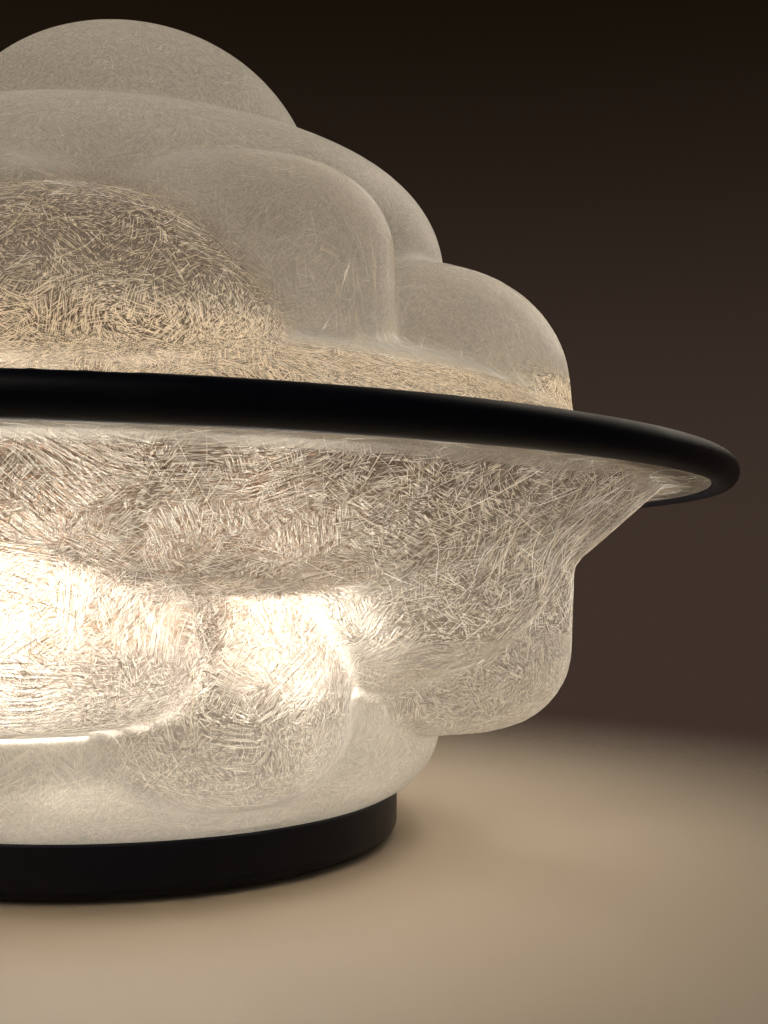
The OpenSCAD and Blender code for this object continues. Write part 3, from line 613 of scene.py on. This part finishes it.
# Smoky places of the upper shell: the round swell at the front and its twin behind
upper_laminate = lay_up(
    "glass_fibre_polyester_upper", strand="#fde9ca", shine=0.85, streak_mm=0.36, length_mm=14.0,
    frosted_r=0.226, stranded_r=0.24, cover=0.5, foot=1.0, smoky=[
        ((-0.019, -0.155, 0.208), 0.101, SHARP), ((0.019, 0.155, 0.208), 0.101, SHARP)])
upper_shell.data.materials.append(upper_laminate)
upper_shell.data.materials.append(laid_side)
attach(upper_shell, "upper_shell")
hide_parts("upper_shell")

# Thinner and shorter than on the lower shell, in the same columns
UPPER_STRANDS = (
    ("long", dry_strand, 900, 6, 40.0, 0.15),
    ("short", dry_strand, 4000, 5, 14.0, 0.13),
    ("wetted", wet_strand, 5000, 6, 30.0, 0.16),
)
for seed, (name, material, *laid) in enumerate(UPPER_STRANDS, 21):
    strands = strand_piece(f"upper_{name}_strands", upper_form, upper_rows[:upper_outer], True, seed, *laid)
    strands.data.materials.append(material)
    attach(strands, "upper_shell")

# Floor
# A pale floor whose colour gives way to see-through from 0.2 m to 0.65 m off the lamp's axis, into a dark warm
# backdrop: a painted pool of the lamp's light on the floor, which also blends the floor into the backdrop.
FLOOR_R, FADE_FROM, FADE_TO = 3.0, 0.2, 0.65
BACKDROP_LOW, BACKDROP_HIGH = linear("#3d312a"), linear("#150e07")

ring_angles = np.linspace(0, 2 * np.pi, 96, endpoint=False)
floor_mesh = bpy.data.meshes.new("floor")
floor_mesh.from_pydata(
    (FLOOR_R * np.stack((np.cos(ring_angles), np.sin(ring_angles), 0 * ring_angles), -1)).tolist(), [],
    [list(range(len(ring_angles)))])
floor = bpy.data.objects.new("floor", floor_mesh)
bpy.context.scene.collection.objects.link(floor)
plaster, tree = blank("pale_plaster_floor")
spot = put(tree, "TexCoord").outputs["Object"]
away = put(tree, "VectorMath", {0: spot}, operation="LENGTH").outputs["Value"]
# Painted pool of light: the pale colour is full near the lamp and fades to see-through farther out
painted_light_pool = put(tree, "MapRange", {
    "Value": away, 1: FADE_FROM, 2: FADE_TO}, interpolation_type="SMOOTHSTEP").outputs[0]
matt = put(tree, "BsdfPrincipled", {"Base Color": linear("#cebda5"), "Roughness": 0.7})
clear = put(tree, "BsdfTransparent")
ground = put(tree, "MixShader", {0: painted_light_pool, 1: matt.outputs[0], 2: clear.outputs[0]})
put(tree, "OutputMaterial", {"Surface": ground.outputs[0]})
floor_mesh.materials.append(plaster)

# Studio light
# One large soft lamp from the front left, one weaker from the right behind, and an even sky. The sky lights the
# lamp; what is seen of it, directly or through the shells, is a dark warm backdrop.
TARGET = np.array((0.0, 0.0, 0.2))
for name, place, size, watts in (
    ("key_lamp", (-1.3, -1.5, 1.9), 1.6, 11.0),
    ("rim_lamp", (1.6, 1.2, 1.5), 1.4, 7.0),
):
    panel = bpy.data.lights.new(name, "AREA")
    panel.size = size
    panel.energy = watts
    panel.color = linear("#fff1de")[:3]
    lamp = bpy.data.objects.new(name, panel)
    back = np.array(place) - TARGET
    back /= np.linalg.norm(back)
    right = np.cross((0, 0, 1), back)
    right /= np.linalg.norm(right)
    lamp.matrix_world = Matrix(np.vstack((
        np.column_stack((right, np.cross(back, right), back, place)), (0, 0, 0, 1))).tolist())
    bpy.context.scene.collection.objects.link(lamp)

SKY_STRENGTH = 0.22
world = bpy.data.worlds.new("studio")
bpy.context.scene.world = world
world.use_nodes = True
tree = world.node_tree
tree.nodes.clear()
path = put(tree, "LightPath").outputs
mirrored = put(tree, "Math", {
    0: path["Is Camera Ray"], 1: path["Is Glossy Ray"]}, operation="MAXIMUM").outputs[0]
seen = put(tree, "Math", {0: mirrored, 1: path["Is Transmission Ray"]}, operation="MAXIMUM").outputs[0]
sky = put(tree, "Background", {"Color": linear("#fff6ea"), "Strength": SKY_STRENGTH})
height = put(tree, "SeparateXYZ", {0: put(tree, "TexCoord").outputs["Generated"]}).outputs["Z"]
rise = put(tree, "MapRange", {"Value": height, 1: 0.0, 2: 0.5}, interpolation_type="SMOOTHSTEP").outputs[0]
dusk = put(tree, "Mix", {0: rise, 6: BACKDROP_LOW, 7: BACKDROP_HIGH}, data_type="RGBA").outputs[2]
backdrop = put(tree, "Background", {"Color": dusk, "Strength": 1.0})
either = put(tree, "MixShader", {0: seen, 1: sky.outputs[0], 2: backdrop.outputs[0]})
put(tree, "OutputWorld", {"Surface": either.outputs[0]})

bpy.context.scene.view_settings.view_transform = "Standard"
